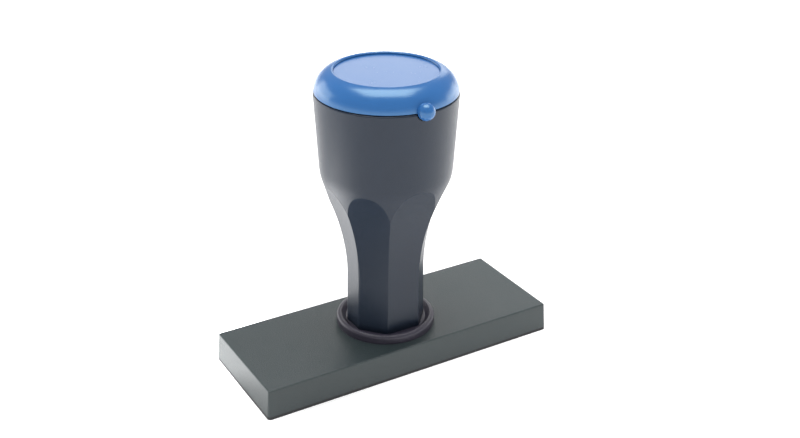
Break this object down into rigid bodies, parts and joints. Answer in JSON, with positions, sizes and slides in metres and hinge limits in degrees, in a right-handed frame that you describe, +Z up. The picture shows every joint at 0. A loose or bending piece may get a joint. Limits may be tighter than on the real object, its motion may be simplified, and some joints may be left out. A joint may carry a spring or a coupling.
{
  "type": "self inking stamp",
  "caption": "Pre-inked self-inking hand stamp: grey spring handle with octagonal neck on a long skirted base plate, glossy blue lift-off cap with a front bead.",
  "frame": {"origin": "centre of the base plate's underside, on the surface that it stands on", "axes": "+Z up along the handle, +X along the long side of the base plate, -Y the front, where the cap's bead points"},
  "size_m": [0.082, 0.0372, 0.0759],
  "materials": {
    "base_plastic": "satin, finely textured moulding",
    "handle_plastic": "satin, smooth moulding",
    "collar_plastic": "satin moulding",
    "cap_plastic": "polished, glossy blue moulding",
    "disc_plastic": "polished, flat",
    "gasket_rubber": "matt",
    "seal_rubber": "slightly oiled",
    "die_rubber": "matt, laser engraved",
    "ink_foam": "open-cell foam wet with blue ink",
    "wick_felt": "pressed felt",
    "spring_steel": "bright zinc-plated wire",
    "zinc_steel": "zinc plated",
    "carrier_plastic": "natural moulding",
    "reservoir_plastic": "translucent natural moulding",
    "stopper_rubber": "matt"
  },
  "bodies": {
    "base": {"base_frame": "base_plastic", "guide_collar": "collar_plastic", "foot_gasket": "gasket_rubber", "return_spring": "spring_steel"},
    "plunger": {"handle_body": "handle_plastic", "die_carrier": "carrier_plastic", "ink_foam": "ink_foam", "print_die": "die_rubber", "die_retainer": "zinc_steel", "ink_wick": "wick_felt", "spring_washer": "zinc_steel", "spindle_washer": "zinc_steel", "spindle_nut": "zinc_steel", "spindle_lock_nut": "zinc_steel", "ink_reservoir": "reservoir_plastic", "outlet_seal": "seal_rubber", "lid_gasket": "seal_rubber", "reservoir_lid": "reservoir_plastic", "clamp_ring": "carrier_plastic"},
    "cap": {"cap_shell": "cap_plastic", "cap_disc": "disc_plastic", "cap_o_ring": "seal_rubber", "filler_stopper": "stopper_rubber"}
  },
  "joints": [
    {"name": "press_stroke", "type": "slide", "parent": "base", "child": "plunger", "axis": [0, 0, -1], "range_m": [0, 0.0015], "stiffness_N_per_m": 1000, "springref_m": -0.003, "deforming": ["return_spring"]},
    {"name": "cap_lift", "type": "slide", "parent": "plunger", "child": "cap", "axis": [0, 0, 1], "range_m": [0, 0.02]}
  ]
}
